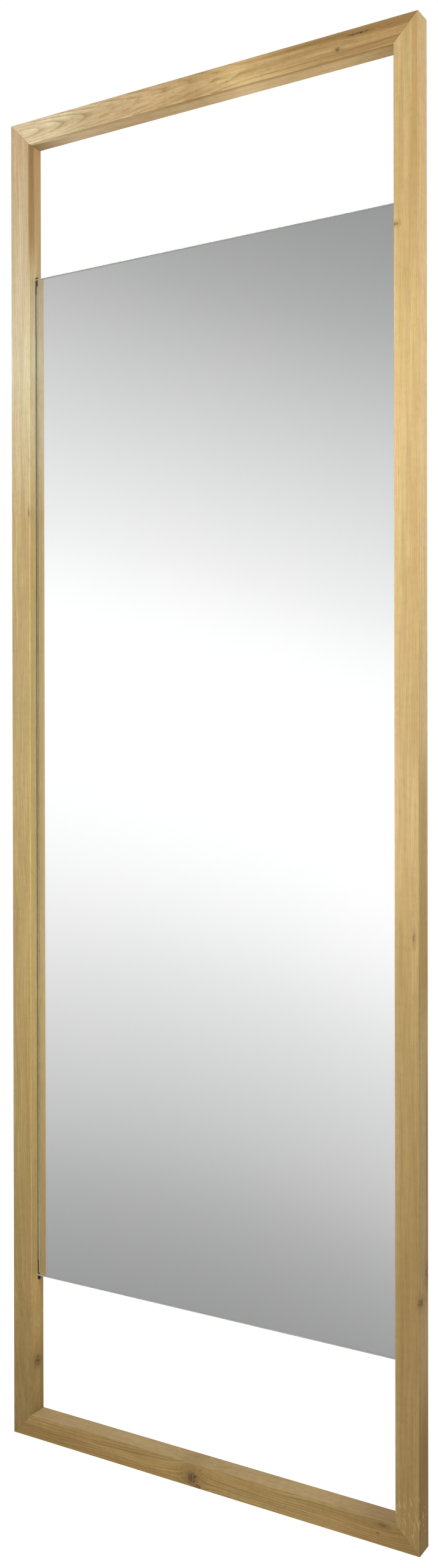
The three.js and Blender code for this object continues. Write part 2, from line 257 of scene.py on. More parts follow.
# ---- The oak members ----
# Two stiles and two rails of solid European oak, planed, mitred and glued round loose tenons, then
# sanded flush and given a clear oil. The arrises and the frame's own corners are rounded over by
# about 1.5 mm. A stopped groove in each stile, cut with a small router bit, holds the pane.
ARRIS = 1.5 * MM
MITRE_GLUE = 0.05 * MM
MITRE_EASE = 0.2 * MM  # the faint vee that sanding leaves along a joint
GROOVE_DEPTH = 9.5 * MM
GROOVE_ABOVE = 3.5 * MM  # from the pane's top edge to the groove's end
BLOCK_PLAY = 0.25 * MM  # round a setting block
TENON_SIZE = (26 * MM, 12 * MM, 6 * MM)
TENON_INSET = 3 * MM
TENON_PLAY = 0.3 * MM
PILOT_RADIUS = 1.75 * MM
PILOT_DEPTH = 13.4 * MM
RING_SPACING = 2.6  # mm, a year's growth in oak
PORE_WIDTH = 0.7  # mm; the real ones are 0.3 mm, too fine to show
PORE_LENGTH = 9.0  # mm
WAVE_UNIT = 2 * pi / 20  # the wave texture's scale that gives one band in each unit of length
ZONE_EDGE = 1.2  # mm, half the width over which a zone of another tone sets in across the board
ZONE_WANDER = 5.0  # mm, how far that edge strays
ZONE_FADE = 45  # mm, the same at its two ends, along the board
SIDES = (("left", -1), ("right", 1))
ENDS = (("top", 1), ("bottom", -1))

half_width = cad_high.x
height_of_frame = cad_high.z
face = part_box("bottom_rail")[1].z
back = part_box("bottom_rail")[1].y


def oak(name, level, middle, pith, lean, bend, wave, figure, shades, tints, tone_and_painted_light_zones, knots, flecks=None):
    """Oiled oak: an open-pored wood with porous rings, a satin sheen and a slow drift of tone.

    Everything is worked out in the grain's own millimetres: x across the face, y through the
    thickness and z along the member, with the log's pith at pith and leaning by lean. Below
    bend[0] the grain turns aside, by bend[1] across and bend[2] through for each millimetre. The
    fibres stray by wave, and figure is how strongly the rings show. The tints multiply the wood's
    colour along the member. A knot is its place, radius, stretch along the grain and strength.
    """
    material, tree, surface = new_material(name)
    coords = add_node(tree, "ShaderNodeTexCoord")
    grain = add_node(
        tree,
        "ShaderNodeMapping",
        links={
            "Vector": coords.outputs["Object"],
            "Scale": (1000, 1000, 1000),
            "Rotation": (0, radians(-90) if level else 0, 0),
            "Location": (middle, 0, 0),
        },
    ).outputs[0]

    def vector(operation, first, second):
        links = {0: first, 1: second}
        node = add_node(tree, "ShaderNodeVectorMath", {"operation": operation}, links)
        return node.outputs["Value" if operation in ("LENGTH", "DOT_PRODUCT") else "Vector"]

    def number(operation, first, second=0.0, clamp=False):
        settings = {"operation": operation, "use_clamp": clamp}
        return add_node(tree, "ShaderNodeMath", settings, {0: first, 1: second}).outputs[0]

    def noise(source, size, detail=2.0, rough=0.5):
        scaled = vector("DIVIDE", source, size)
        links = {"Vector": scaled, "Scale": 1.0, "Detail": detail, "Roughness": rough}
        return add_node(tree, "ShaderNodeTexNoise", links=links).outputs["Fac"]

    def between(value, low, high, start=0.0, end=1.0):
        links = {"Value": value, "From Min": low, "From Max": high, "To Min": start, "To Max": end}
        settings = {"interpolation_type": "SMOOTHSTEP"}
        return add_node(tree, "ShaderNodeMapRange", settings, links).outputs[0]

    def blend(amount, first, second, kind="MIX"):
        settings = {"data_type": "RGBA", "blend_type": kind}
        node = add_node(tree, "ShaderNodeMix", settings, {0: amount, 6: first, 7: second})
        return node.outputs[2]

    # Grain flows round each knot as water does round a stone.
    flowed = grain
    core = halo = None
    for place, radius, stretch, strength in knots:
        away = vector("SUBTRACT", grain, place)
        away = vector("MULTIPLY", away, (1, 0.25, 1 / stretch))
        ragged = number("SUBTRACT", noise(grain, (2.5, 4, 5)), 0.5)
        distance = number("ADD", vector("LENGTH", away, (0, 0, 0)), number("MULTIPLY", ragged, radius))
        squeeze = number("DIVIDE", radius * radius, number("MULTIPLY", distance, distance))
        squeeze = number("MULTIPLY", number("MINIMUM", squeeze, 1.0), -1.0)
        across = vector("MULTIPLY", vector("SUBTRACT", grain, place), (1, 0, 0))
        scaled = add_node(
            tree, "ShaderNodeVectorMath", {"operation": "SCALE"}, {0: across, "Scale": squeeze}
        )
        flowed = vector("ADD", flowed, scaled.outputs[0])
        here = between(distance, radius * 0.25, radius, 1.0, 0.0)
        near = between(distance, radius * 0.6, radius * 2.6, 1.0, 0.0)
        here = number("MULTIPLY", here, strength)
        core = here if core is None else number("MAXIMUM", core, here)
        halo = near if halo is None else number("MAXIMUM", halo, near)

    # The fibres wander slowly from side to side along the member, and turn aside at the bend.
    parts = add_node(tree, "ShaderNodeSeparateXYZ", links={0: grain})
    along = parts.outputs["Z"]
    drift = number("SUBTRACT", noise(grain, (40, 40, 170), 2.0), 0.5)
    past = number("MINIMUM", number("SUBTRACT", along, bend[0]), 0.0)
    sideways = number("ADD", number("MULTIPLY", drift, wave * 2), number("MULTIPLY", past, bend[1]))
    inwards = number("MULTIPLY", past, bend[2])
    sway = add_node(tree, "ShaderNodeCombineXYZ", links={"X": sideways, "Y": inwards})
    flowed = vector("ADD", flowed, sway.outputs[0])

    # Yearly rings round the pith: porous early wood, then denser late wood.
    log = add_node(
        tree,
        "ShaderNodeMapping",
        links={
            "Vector": flowed,
            "Rotation": (radians(lean[1]), radians(lean[0]), 0),
            "Location": (-pith[0], -pith[1], 0),
        },
    ).outputs[0]
    rings = add_node(
        tree,
        "ShaderNodeTexWave",
        {"wave_type": "RINGS", "rings_direction": "Z", "wave_profile": "SAW"},
        {
            "Vector": vector("MULTIPLY", log, (1, 1, 0.05)),
            "Scale": WAVE_UNIT / RING_SPACING,
            "Distortion": 5.0,
            "Detail": 3.0,
            "Detail Scale": 0.22,
            "Detail Roughness": 0.6,
        },
    ).outputs["Fac"]
    early = add_node(
        tree,
        "ShaderNodeValToRGB",
        links={"Fac": rings},
        stops=[(0.0, 0.5), (0.06, 1.0), (0.2, 0.6), (0.42, 0.12), (0.9, 0.0), (1.0, 0.5)],
    ).outputs[0]
    fade = between(noise(flowed, (6, 6, 130), 3.0, 0.6), 0.3, 0.62)
    ring_mark = number("MULTIPLY", number("MULTIPLY", early, fade), figure)

    # Pores, fibre streaks and the slow tones of the board.
    pores = noise(flowed, (PORE_WIDTH, PORE_WIDTH, PORE_LENGTH), 2.0, 0.6)
    pores = between(pores, 0.56, 0.72)
    pores = number("MULTIPLY", pores, number("ADD", number("MULTIPLY", early, 0.7), 0.5))
    fibres = noise(flowed, (1.3, 1.3, 70), 5.0, 0.7)
    bands = noise(flowed, (7, 7, 190), 3.0, 0.55)
    tones = noise(flowed, (17, 17, 260), 3.0, 0.6)

    light, mid, dark, pore, knot = [linear(shade) for shade in shades]
    colour = blend(between(tones, 0.3, 0.7), mid, light)
    colour = blend(between(bands, 0.34, 0.7, 0.0, 0.38), colour, dark)
    colour = blend(ring_mark, colour, dark)
    for (across, through, start), (low, high), amount, shade in tone_and_painted_light_zones:
        edge = number("MULTIPLY", parts.outputs["X"], across)
        edge = number("ADD", edge, number("MULTIPLY", parts.outputs["Y"], through))
        stray = number("MULTIPLY", number("SUBTRACT", bands, 0.5), ZONE_WANDER)
        edge = number("ADD", edge, stray)
        here = number("MULTIPLY", between(edge, start - ZONE_EDGE, start + ZONE_EDGE), amount)
        begun = between(along, low - ZONE_FADE, low + ZONE_FADE)
        here = number("MULTIPLY", here, begun)
        ended = between(along, high - ZONE_FADE, high + ZONE_FADE, 1.0, 0.0)
        here = number("MULTIPLY", here, ended)
        colour = blend(here, colour, linear(shade))
    colour = blend(between(fibres, 0.36, 0.72, 0.0, 0.4), colour, dark)
    silk = noise(flowed, (11, 11, 8), 3.0, 0.6)
    colour = blend(between(silk, 0.4, 0.7, 0.0, 0.15), colour, dark)
    hue = blend(between(noise(flowed, (4, 4, 150)), 0.35, 0.65), linear("FFFAF5"), linear("FAFCF0"))
    colour = blend(1.0, colour, hue, "MULTIPLY")
    colour = blend(number("MULTIPLY", pores, 0.2 + figure / 4), colour, pore)
    if knots:
        colour = blend(number("MULTIPLY", halo, 0.45), colour, dark)
        spots = between(noise(grain, (1.7, 3, 2.1), 2.0), 0.35, 0.6, 0.35, 1.0)
        colour = blend(number("MULTIPLY", core, spots), colour, knot)
    (first, _), (last, _) = tints[0], tints[-1]
    length = add_node(
        tree,
        "ShaderNodeMapRange",
        links={"Value": along, "From Min": first, "From Max": last},
    )
    tint = add_node(
        tree,
        "ShaderNodeValToRGB",
        links={"Fac": length.outputs[0]},
        stops=[((place - first) / (last - first), shade) for place, shade in tints],
    )
    colour = blend(1.0, colour, tint.outputs[0], "MULTIPLY")
    if flecks:
        (low, high), shade = flecks
        turned = add_node(
            tree, "ShaderNodeMapping", links={"Vector": grain, "Rotation": (0, radians(14), 0)}
        ).outputs[0]
        ray = between(noise(turned, (1.9, 6, 13), 1.0), 0.59, 0.68)
        zone = number(
            "MULTIPLY",
            between(along, low - 8, low + 8),
            between(along, high - 12, high + 12, 1.0, 0.0),
        )
        colour = blend(number("MULTIPLY", ray, number("MULTIPLY", zone, 0.6)), colour, linear(shade))

    relief = number("ADD", number("MULTIPLY", ring_mark, -0.35), number("MULTIPLY", pores, -1.0))
    bump = add_node(
        tree,
        "ShaderNodeBump",
        links={"Height": relief, "Strength": 0.35, "Distance": 0.15 * MM},
    )
    satin = between(number("ADD", pores, ring_mark), 0.0, 1.2, 0.46, 0.64)
    bsdf = add_node(
        tree,
        "ShaderNodeBsdfPrincipled",
        links={
            "Base Color": colour,
            "Roughness": satin,
            "Normal": bump.outputs[0],
            "IOR": 1.46,
            "Specular IOR Level": 0.4,
        },
    )
    tree.links.new(bsdf.outputs[0], surface)
    return material


def block(low, high):
    """A plain block between two corners, as a bmesh that is still to be shaped."""
    bm = bmesh.new()
    size = Matrix.Diagonal((*(high - low), 1))
    bmesh.ops.create_cube(bm, size=1, matrix=Matrix.Translation((low + high) / 2) @ size)
    return bm


def round_over(bm, edges, width, segments):
    """Rounds edges over, or with one segment takes them off at 45 degrees."""
    bmesh.ops.bevel(
        bm,
        geom=edges,
        offset=width,
        offset_type="OFFSET",
        segments=segments,
        profile=0.5,
        affect="EDGES",
        material=-1,
    )


def slot_bar(radius, straight, depth, place):
    """A bar with the outline of a slot: two round ends and straight sides between them."""
    sides = 32
    bm = bmesh.new()
    bmesh.ops.create_circle(
        bm, cap_ends=True, radius=radius, segments=sides, matrix=Matrix.Rotation(pi / sides, 4, "Z")
    )
    for sign in (-1, 1):
        half = [v for v in bm.verts if v.co.y * sign > 0]
        bmesh.ops.translate(bm, verts=half, vec=(0, sign * straight / 2, 0))
    outline = bmesh.ops.extrude_face_region(bm, geom=bm.faces[:])
    moved = [g for g in outline["geom"] if isinstance(g, bmesh.types.BMVert)]
    bmesh.ops.translate(bm, verts=moved, vec=(0, 0, depth))
    bmesh.ops.transform(bm, matrix=place, verts=bm.verts)
    bmesh.ops.recalc_face_normals(bm, faces=bm.faces)
    return bm


def cut(piece, *tools):
    """Cuts the tools' solids out of a piece and leaves it with clean normals."""
    cutters = [new_object("cutter", tool) for tool in tools]
    for cutter in cutters:
        step = piece.modifiers.new("cut", "BOOLEAN")
        step.operation = "DIFFERENCE"
        step.solver = "EXACT"
        step.object = cutter
    shading = piece.modifiers.new("even_shading", "WEIGHTED_NORMAL")
    shading.keep_sharp = True
    bpy.context.view_layer.update()
    made = piece.evaluated_get(bpy.context.evaluated_depsgraph_get())
    mesh = bpy.data.meshes.new_from_object(made)
    piece.modifiers.clear()
    piece.data = mesh
    for cutter in cutters:
        bpy.data.objects.remove(cutter)


def member(name, material, mitres):
    """A bar of the node's own size with rounded edges, cut off along two mitre planes."""
    low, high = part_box(name)
    if "stile" in name:
        low, high = Vector((low.x, low.y, 0)), Vector((high.x, high.y, height_of_frame))
    else:
        low, high = Vector((-half_width, low.y, low.z)), Vector((half_width, high.y, high.z))
    bm = block(low, high)
    round_over(bm, bm.edges[:], ARRIS, 5)
    for corner, outward in mitres:
        made = bmesh.ops.bisect_plane(
            bm,
            geom=bm.verts[:] + bm.edges[:] + bm.faces[:],
            dist=1e-7,
            plane_co=corner - outward * MITRE_GLUE / 2,
            plane_no=outward,
            clear_outer=True,
        )
        rim = [g for g in made["geom_cut"] if isinstance(g, bmesh.types.BMEdge)]
        bmesh.ops.contextual_create(bm, geom=rim)
        round_over(bm, rim, MITRE_EASE, 1)
    bmesh.ops.recalc_face_normals(bm, faces=bm.faces)
    made = new_object(f"oak_{name}", bm, material)
    made.data.shade_smooth()
    made.data.set_sharp_from_angle(angle=radians(32))
    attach(made, "frame")
    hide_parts(name)
    return made


def railing(end):
    """The height of the middle of the top or the bottom rail."""
    return height_of_frame - face / 2 if end > 0 else face / 2


def mortise(side, end):
    """The slot for half of a corner's loose tenon, square to the mitre."""
    length, width, thickness = TENON_SIZE
    inward = Vector((-side, 0, -end)).normalized()
    depth_way = Vector((0, -1, 0))
    along = depth_way.cross(inward)
    middle = Vector((side * (half_width - face / 2), 0, railing(end)))
    start = middle + inward * TENON_INSET - along * (length / 2 + TENON_PLAY)
    place = Matrix((depth_way, inward, along)).transposed().to_4x4()
    place.translation = start
    radius = thickness / 2 + TENON_PLAY
    return slot_bar(radius, width - thickness, length + 2 * TENON_PLAY, place)


def groove(side):
    """The stopped groove for the pane, with the round ends that the cutter leaves."""
    block_low, block_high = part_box("setting_block_right")
    wide = block_high.y - block_low.y + 2 * BLOCK_PLAY
    low = block_low.z - BLOCK_PLAY
    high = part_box("mirror_glass")[1].z + GROOVE_ABOVE
    mouth = half_width - face - MM
    floor_of_groove = half_width - face + GROOVE_DEPTH
    start = mouth if side > 0 else -floor_of_groove
    # The outline is drawn in Y and Z, and made deep along X.
    place = Matrix(((0, 0, 1), (1, 0, 0), (0, 1, 0))).to_4x4()
    place.translation = (start, (block_low.y + block_high.y) / 2, (low + high) / 2)
    return slot_bar(wide / 2, high - low - wide, floor_of_groove - mouth, place)


def pilot_holes(side_name):
    """Two small holes in the stile's back for the hanger's screws."""
    for place in ("lower", "upper"):
        low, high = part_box(f"hanger_screw_{side_name}_{place}")
        centre = (low + high) / 2
        centre.y = back - PILOT_DEPTH / 2 + MM / 2
        turn = Matrix.Rotation(radians(90), 4, "X")
        bm = bmesh.new()
        bmesh.ops.create_cone(
            bm,
            cap_ends=True,
            segments=20,
            radius1=PILOT_RADIUS,
            radius2=PILOT_RADIUS,
            depth=PILOT_DEPTH + MM,
            matrix=Matrix.Translation(centre) @ turn,
        )
        yield bm


# Light, middle and dark wood, the pores and the knots, board by board.
RIGHT_SHADES = ("D0B98B", "C2A877", "A18557", "7E653F", "564330")
LEFT_SHADES = ("D6CEBE", "C9C2AE", "A3967A", "78603F", "54412F")
TOP_SHADES = ("E4DAC2", "D2C2A4", "A08A68", "6F573B", "4B3A2A")
BOTTOM_SHADES = ("D7C28C", "C6AB73", "957A4E", "70583A", "4A3526")
WHOLE = (-900, 2700)  # mm along the grain, past both ends of any member
STRAIGHT = (-900, 0, 0)  # a board with no bend
stile_middle = (half_width - face / 2) / MM

# A zone is a part of the board of another tone. Many are painted light and shade on one face, arris
# or corner; others are the wood's own tone, and one is a stain. Where x times its first number plus y
# times its second passes its third, how far it runs along, its strength and its shade.
oak_of = {
    "right_stile": oak(
        "oiled_oak_right_stile",
        level=False,
        middle=-stile_middle,
        pith=(92, -34),
        lean=(0.5, 0.3),
        bend=STRAIGHT,
        wave=5,
        figure=0.26,
        shades=RIGHT_SHADES,
        tints=(
            (0, "EEEEE8"),
            (650, "EAEAE0"),
            (820, "FFFFFF"),
            (960, "F3F3EE"),
            (1400, "FFFFFF"),
            (1600, "F3F1EE"),
            (1800, "F6F6F6"),
        ),
        tone_and_painted_light_zones=(
            ((-1, 0, 9.5), WHOLE, 0.3, "D8C294"),
            ((1, -1, 21), (920, 2700), 0.3, "B2975C"),
            # Painted light and shade on the outer face: paler above 0.92 m and from 0.2 to 0.64 m,
            # darker at the foot.
            ((1, 0, 14.9), (920, 2700), 0.85, "E8D0A6"),
            ((1, 0, 14.9), (-900, 150), 0.65, "8C7955"),
            ((1, 0, 14.9), (200, 640), 0.5, "F0E2C4"),
            ((1, 0.9, 22), (330, 560), 0.6, "6E6354"),
            # Painted shade on the front outer arris, which both lamps light at once.
            ((1, -1, 28), WHOLE, 0.6, "AE925E"),
        ),
        knots=(
            ((-13, -14, 1557), 4.4, 0.7, 1.0),
            ((9, -14, 721), 2.0, 4.0, 0.7),
            ((15, -9, 296), 2.8, 2.6, 0.85),
            ((16, 12, 325), 2.6, 8.0, 0.8),
        ),
        flecks=((16, 66), "DCC493"),
    ),
    "left_stile": oak(
        "oiled_oak_left_stile",
        level=False,
        middle=stile_middle,
        pith=(-58, 44),
        lean=(0.9, 1.2),
        bend=(215, 0.12, -0.12),
        wave=11,
        figure=0.62,
        shades=LEFT_SHADES,
        tints=(
            (0, "D0C095"),
            (200, "EAD7AA"),
            (600, "E3D2A2"),
            (1000, "DBCCA4"),
            (1250, "DDCDAA"),
            (1480, "FDFDF8"),
            (1800, "F0DCCC"),
        ),
        tone_and_painted_light_zones=(
            # Painted shade on the back of the inner face at its foot, by the bottom rail's joint.
            ((1, 1, 21), (-900, 140), 0.4, "86714E"),
            # The inner face has a yellower tone along its length; above the pane it is painted darker
            # for the shade there, with a darker strip on its front half.
            ((1, 0, 15.2), WHOLE, 0.4, "CDBD8E"),
            ((1, 0, 15.2), (1610, 2700), 0.6, "B29A68"),
            ((8, -1, 128.5), (1610, 2700), 0.6, "7C6B42"),
        ),
        knots=(((14, -12, 1265), 1.6, 4.0, 0.8), ((15, 0, 100), 2.8, 4.5, 0.9)),
    ),
    "top_rail": oak(
        "oiled_oak_top_rail",
        level=True,
        middle=railing(1) / MM,
        pith=(-3, 17),
        lean=(0.6, 0.2),
        bend=(62, 0, -0.062),
        wave=4,
        figure=0.8,
        shades=TOP_SHADES,
        tints=(
            (-300, "FFFFFF"),
            (-235, "FFFFFF"),
            (-150, "E8DFD2"),
            (-60, "E3D4BD"),
            (0, "D6C6AA"),
            (60, "F4E6C8"),
            (130, "DBCAA9"),
            (300, "D8C6A3"),
        ),
        tone_and_painted_light_zones=(
            # Painted light and shade on the underside: paler for the light from below, less so left of
            # the middle, and darker at both ends by the corner joints.
            ((1, 0.5, 12), (-60, 2700), 0.85, "F8F5EE"),
            ((1, 0.5, 12), (-900, -60), 0.55, "E6DECF"),
            ((1, 0.5, 12), (-900, -225), 0.85, "84704F"),
            ((1, 0.5, 12), (225, 2700), 0.35, "8E7A58"),
            ((-1, 0, 8.5), (90, 2700), 0.4, "8E6E46"),
            # Painted shade along the lower front arris.
            ((1, -3, 46), (150, 2700), 0.35, "8F7350"),
        ),
        knots=(((-8, -14, 225), 1.8, 14.0, 0.9), ((4, -14, 196), 3.6, 1.4, 0.75)),
    ),
    "bottom_rail": oak(
        "oiled_oak_bottom_rail",
        level=True,
        middle=railing(-1) / MM,
        pith=(-46, 26),
        lean=(0.7, 0.5),
        bend=STRAIGHT,
        wave=7,
        figure=0.72,
        shades=BOTTOM_SHADES,
        tints=((-300, "EEECE8"), (-60, "FAFAFA"), (200, "FAFAFA"), (300, "E8E6E2")),
        tone_and_painted_light_zones=(
            # Painted light on the top face, lit from above, and painted shade at its right end by the
            # corner joint.
            ((-1, 0, 14.6), WHOLE, 0.75, "D9C39C"),
            ((-1, 0, 14.6), (205, 2700), 0.5, "A08B68"),
        ),
        knots=(
            ((4, -18, -12), 12.5, 1.0, 0.85),
            ((14, -13.5, -3), 6.0, 1.1, 1.0),
            ((-9, -13, 252), 2.6, 2.6, 0.7),
            ((2, -14, 246), 1.3, 1.5, 0.6),
        ),
    ),
}

for side_name, side in SIDES:
    cuts = []
    for _, end in ENDS:
        corner = Vector((side * half_width, 0, height_of_frame if end > 0 else 0))
        cuts.append((corner, Vector((-side, 0, end)).normalized()))
    stile = member(f"{side_name}_stile", oak_of[f"{side_name}_stile"], cuts)
    cut(stile, groove(side), *[mortise(side, end) for _, end in ENDS], *pilot_holes(side_name))

for end_name, end in ENDS:
    cuts = []
    for _, side in SIDES:
        corner = Vector((side * half_width, 0, height_of_frame if end > 0 else 0))
        cuts.append((corner, Vector((side, 0, -end)).normalized()))
    rail = member(f"{end_name}_rail", oak_of[f"{end_name}_rail"], cuts)
    cut(rail, *[mortise(side, end) for _, side in SIDES])


# ---- The corner tenons ----
# A loose tenon of beech glued across each mitre, fluted so that the glue can escape. Beech is pale
# and pink, with short dark ray flecks.
FLUTE_SPACING = 1.5  # mm

beech, tree, surface = new_material("machined_beech")
coords = add_node(tree, "ShaderNodeTexCoord")
turn = add_node(
    tree,
    "ShaderNodeMapping",
    links={
        "Vector": coords.outputs["Object"],
        "Rotation": (0, radians(45), 0),
        "Scale": (1000, 1000, 1000),
    },
)
stretch = add_node(
    tree, "ShaderNodeMapping", links={"Vector": turn.outputs[0], "Scale": (0.9, 0.9, 0.12)}
)
flecks = add_node(
    tree, "ShaderNodeTexNoise", links={"Vector": stretch.outputs[0], "Scale": 1.0, "Detail": 3.0}
)
shade = add_node(
    tree,
    "ShaderNodeValToRGB",
    links={"Fac": flecks.outputs["Fac"]},
    stops=[(0.35, "E0C29C"), (0.6, "D0AB80"), (0.72, "AD8257")],
)
flutes = add_node(
    tree,
    "ShaderNodeTexWave",
    {"bands_direction": "Z"},
    {"Vector": turn.outputs[0], "Scale": WAVE_UNIT / FLUTE_SPACING},
)
bump = add_node(
    tree,
    "ShaderNodeBump",
    links={"Height": flutes.outputs["Fac"], "Strength": 0.6, "Distance": 0.3 * MM},
)
bsdf = add_node(
    tree,
    "ShaderNodeBsdfPrincipled",
    links={"Base Color": shade.outputs[0], "Roughness": 0.7, "Normal": bump.outputs[0]},
)
tree.links.new(bsdf.outputs[0], surface)


def refinish(node_name, material):
    """Gives a carried-over CAD node its real finish."""
    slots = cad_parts[node_name].material_slots
    if not slots:
        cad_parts[node_name].data.materials.append(material)
    for slot in slots:
        slot.material = material


for end_name, _ in ENDS:
    for side_name, _ in SIDES:
        refinish(f"corner_tenon_{end_name}_{side_name}", beech)


# ---- The pane ----
# 4 mm float glass, silvered on the back, sealed with grey paint, and with its edges ground and
# arrissed by 0.6 mm. Only the long edges are held; the top and bottom edges are in plain sight.
GLASS_ARRIS = 0.6 * MM
PAINT = 0.05 * MM
PAINT_GAP = PAINT / 5  # so that the film and the silver don't share a face

clear_glass, tree, surface = new_material("clear_float_glass")  # colourless here, though iron gives real float glass a trace of green
bsdf = add_node(
    tree,
    "ShaderNodeBsdfPrincipled",
    links={
        "Base Color": linear("FDFDFD"),
        "Transmission Weight": 1.0,
        "Roughness": 0.0,
        "IOR": 1.52,
    },
)
tree.links.new(bsdf.outputs[0], surface)

silver, tree, surface = new_material("mirror_silver")  # chemically deposited, so no brush marks
coords = add_node(tree, "ShaderNodeTexCoord")
haze = add_node(
    tree, "ShaderNodeTexNoise", links={"Vector": coords.outputs["Object"], "Scale": 3.0}
)
shade = add_node(
    tree,
    "ShaderNodeValToRGB",
    links={"Fac": haze.outputs["Fac"]},
    stops=[(0.3, "F5F6F6"), (0.7, "F8F8F8")],
)
bsdf = add_node(
    tree,
    "ShaderNodeBsdfPrincipled",
    links={"Base Color": shade.outputs[0], "Metallic": 1.0, "Roughness": 0.0},
)
tree.links.new(bsdf.outputs[0], surface)

# Milky where it is ground, with a faint painted glow for the light the pane gathers and sends to its
# edges.
ground_edge, tree, surface = new_material("ground_glass_edge")
coords = add_node(tree, "ShaderNodeTexCoord")
grit = add_node(
    tree,
    "ShaderNodeTexNoise",
    links={"Vector": coords.outputs["Object"], "Scale": 1200.0, "Detail": 2.0},
)
shade = add_node(
    tree,
    "ShaderNodeValToRGB",
    links={"Fac": grit.outputs["Fac"]},
    stops=[(0.3, "E4EAE7"), (0.7, "F4F6F5")],
)
bump = add_node(
    tree,
    "ShaderNodeBump",
    links={"Height": grit.outputs["Fac"], "Strength": 0.3, "Distance": 0.05 * MM},
)
bsdf = add_node(
    tree,
    "ShaderNodeBsdfPrincipled",
    links={
        "Base Color": shade.outputs[0],
        "Roughness": 0.38,
        "IOR": 1.52,
        "Emission Color": shade.outputs[0],
        "Emission Strength": 0.1,
        "Normal": bump.outputs[0],
    },
)
tree.links.new(bsdf.outputs[0], surface)

low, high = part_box("mirror_glass")
bm = block(low, high)
rims = [e for e in bm.edges if abs(e.verts[0].co.y - e.verts[1].co.y) < TOUCHING]
round_over(bm, rims, GLASS_ARRIS, 2)
CLEAR, SILVERED, GROUND = range(3)  # the pane's materials, in the order that it is given them
for glass_face in bm.faces:
    facing = glass_face.normal.y
    square = abs(facing) > 0.99
    glass_face.material_index = GROUND if not square else CLEAR if facing < 0 else SILVERED
pane = new_object("mirror_pane", bm, clear_glass, silver, ground_edge)
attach(pane, "frame")
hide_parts("mirror_glass")

# The paint is a film on the silver, a little inside the glass's edges.
back_paint, tree, surface = new_material("grey_backing_paint")
coords = add_node(tree, "ShaderNodeTexCoord")
curtain = add_node(
    tree, "ShaderNodeTexNoise", links={"Vector": coords.outputs["Object"], "Scale": 60.0}
)
shade = add_node(
    tree,
    "ShaderNodeValToRGB",
    links={"Fac": curtain.outputs["Fac"]},
    stops=[(0.3, "6F7778"), (0.7, "7C8485")],
)
bsdf = add_node(
    tree, "ShaderNodeBsdfPrincipled", links={"Base Color": shade.outputs[0], "Roughness": 0.42}
)
tree.links.new(bsdf.outputs[0], surface)
inset = Vector((GLASS_ARRIS, 0, GLASS_ARRIS))
paint_low = Vector((low.x, high.y + PAINT_GAP, low.z)) + inset
paint_high = Vector((high.x, high.y + PAINT + PAINT_GAP, high.z)) - inset
film = new_object("pane_back_paint", block(paint_low, paint_high), back_paint)
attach(film, "frame")


# ---- The backing board ----
# 3 mm hardboard, pressed wood fibre, smooth on the outside. It is bonded to the pane and slides
# into the same grooves. Its sawn edges are eased with a touch of sandpaper.
BOARD_EASE = 0.3 * MM

hardboard, tree, surface = new_material("smooth_hardboard")  # mottled brown, faintly waxy
coords = add_node(tree, "ShaderNodeTexCoord")
fibre = add_node(
    tree,
    "ShaderNodeTexNoise",
    links={"Vector": coords.outputs["Object"], "Scale": 420.0, "Detail": 4.0, "Roughness": 0.7},
)
cloud = add_node(
    tree,
    "ShaderNodeTexNoise",
    links={"Vector": coords.outputs["Object"], "Scale": 14.0, "Detail": 3.0, "Distortion": 0.6},
)
fleck = add_node(
    tree,
    "ShaderNodeValToRGB",
    links={"Fac": fibre.outputs["Fac"]},
    stops=[(0.3, "5E432C"), (0.45, "7C5B3D"), (0.62, "8A6848"), (0.75, "A5835E")],
)
patch = add_node(
    tree,
    "ShaderNodeValToRGB",
    links={"Fac": cloud.outputs["Fac"]},
    stops=[(0.3, "E6E0DA"), (0.7, "FFFFFF")],
)
shade = add_node(
    tree,
    "ShaderNodeMix",
    {"data_type": "RGBA", "blend_type": "MULTIPLY"},
    {0: 1.0, 6: fleck.outputs[0], 7: patch.outputs[0]},
)
sheen = add_node(
    tree,
    "ShaderNodeMapRange",
    links={"Value": cloud.outputs["Fac"], "To Min": 0.42, "To Max": 0.62},
)
bump = add_node(
    tree,
    "ShaderNodeBump",
    links={"Height": fibre.outputs["Fac"], "Strength": 0.25, "Distance": 0.08 * MM},
)
bsdf = add_node(
    tree,
    "ShaderNodeBsdfPrincipled",
    links={
        "Base Color": shade.outputs[2],
        "Roughness": sheen.outputs[0],
        "Normal": bump.outputs[0],
        "IOR": 1.48,
    },
)
tree.links.new(bsdf.outputs[0], surface)

low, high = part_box("backing_board")
bm = block(low, high)
round_over(bm, bm.edges[:], BOARD_EASE, 2)
board = new_object("hardboard_back", bm, hardboard)
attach(board, "frame")
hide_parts("backing_board")


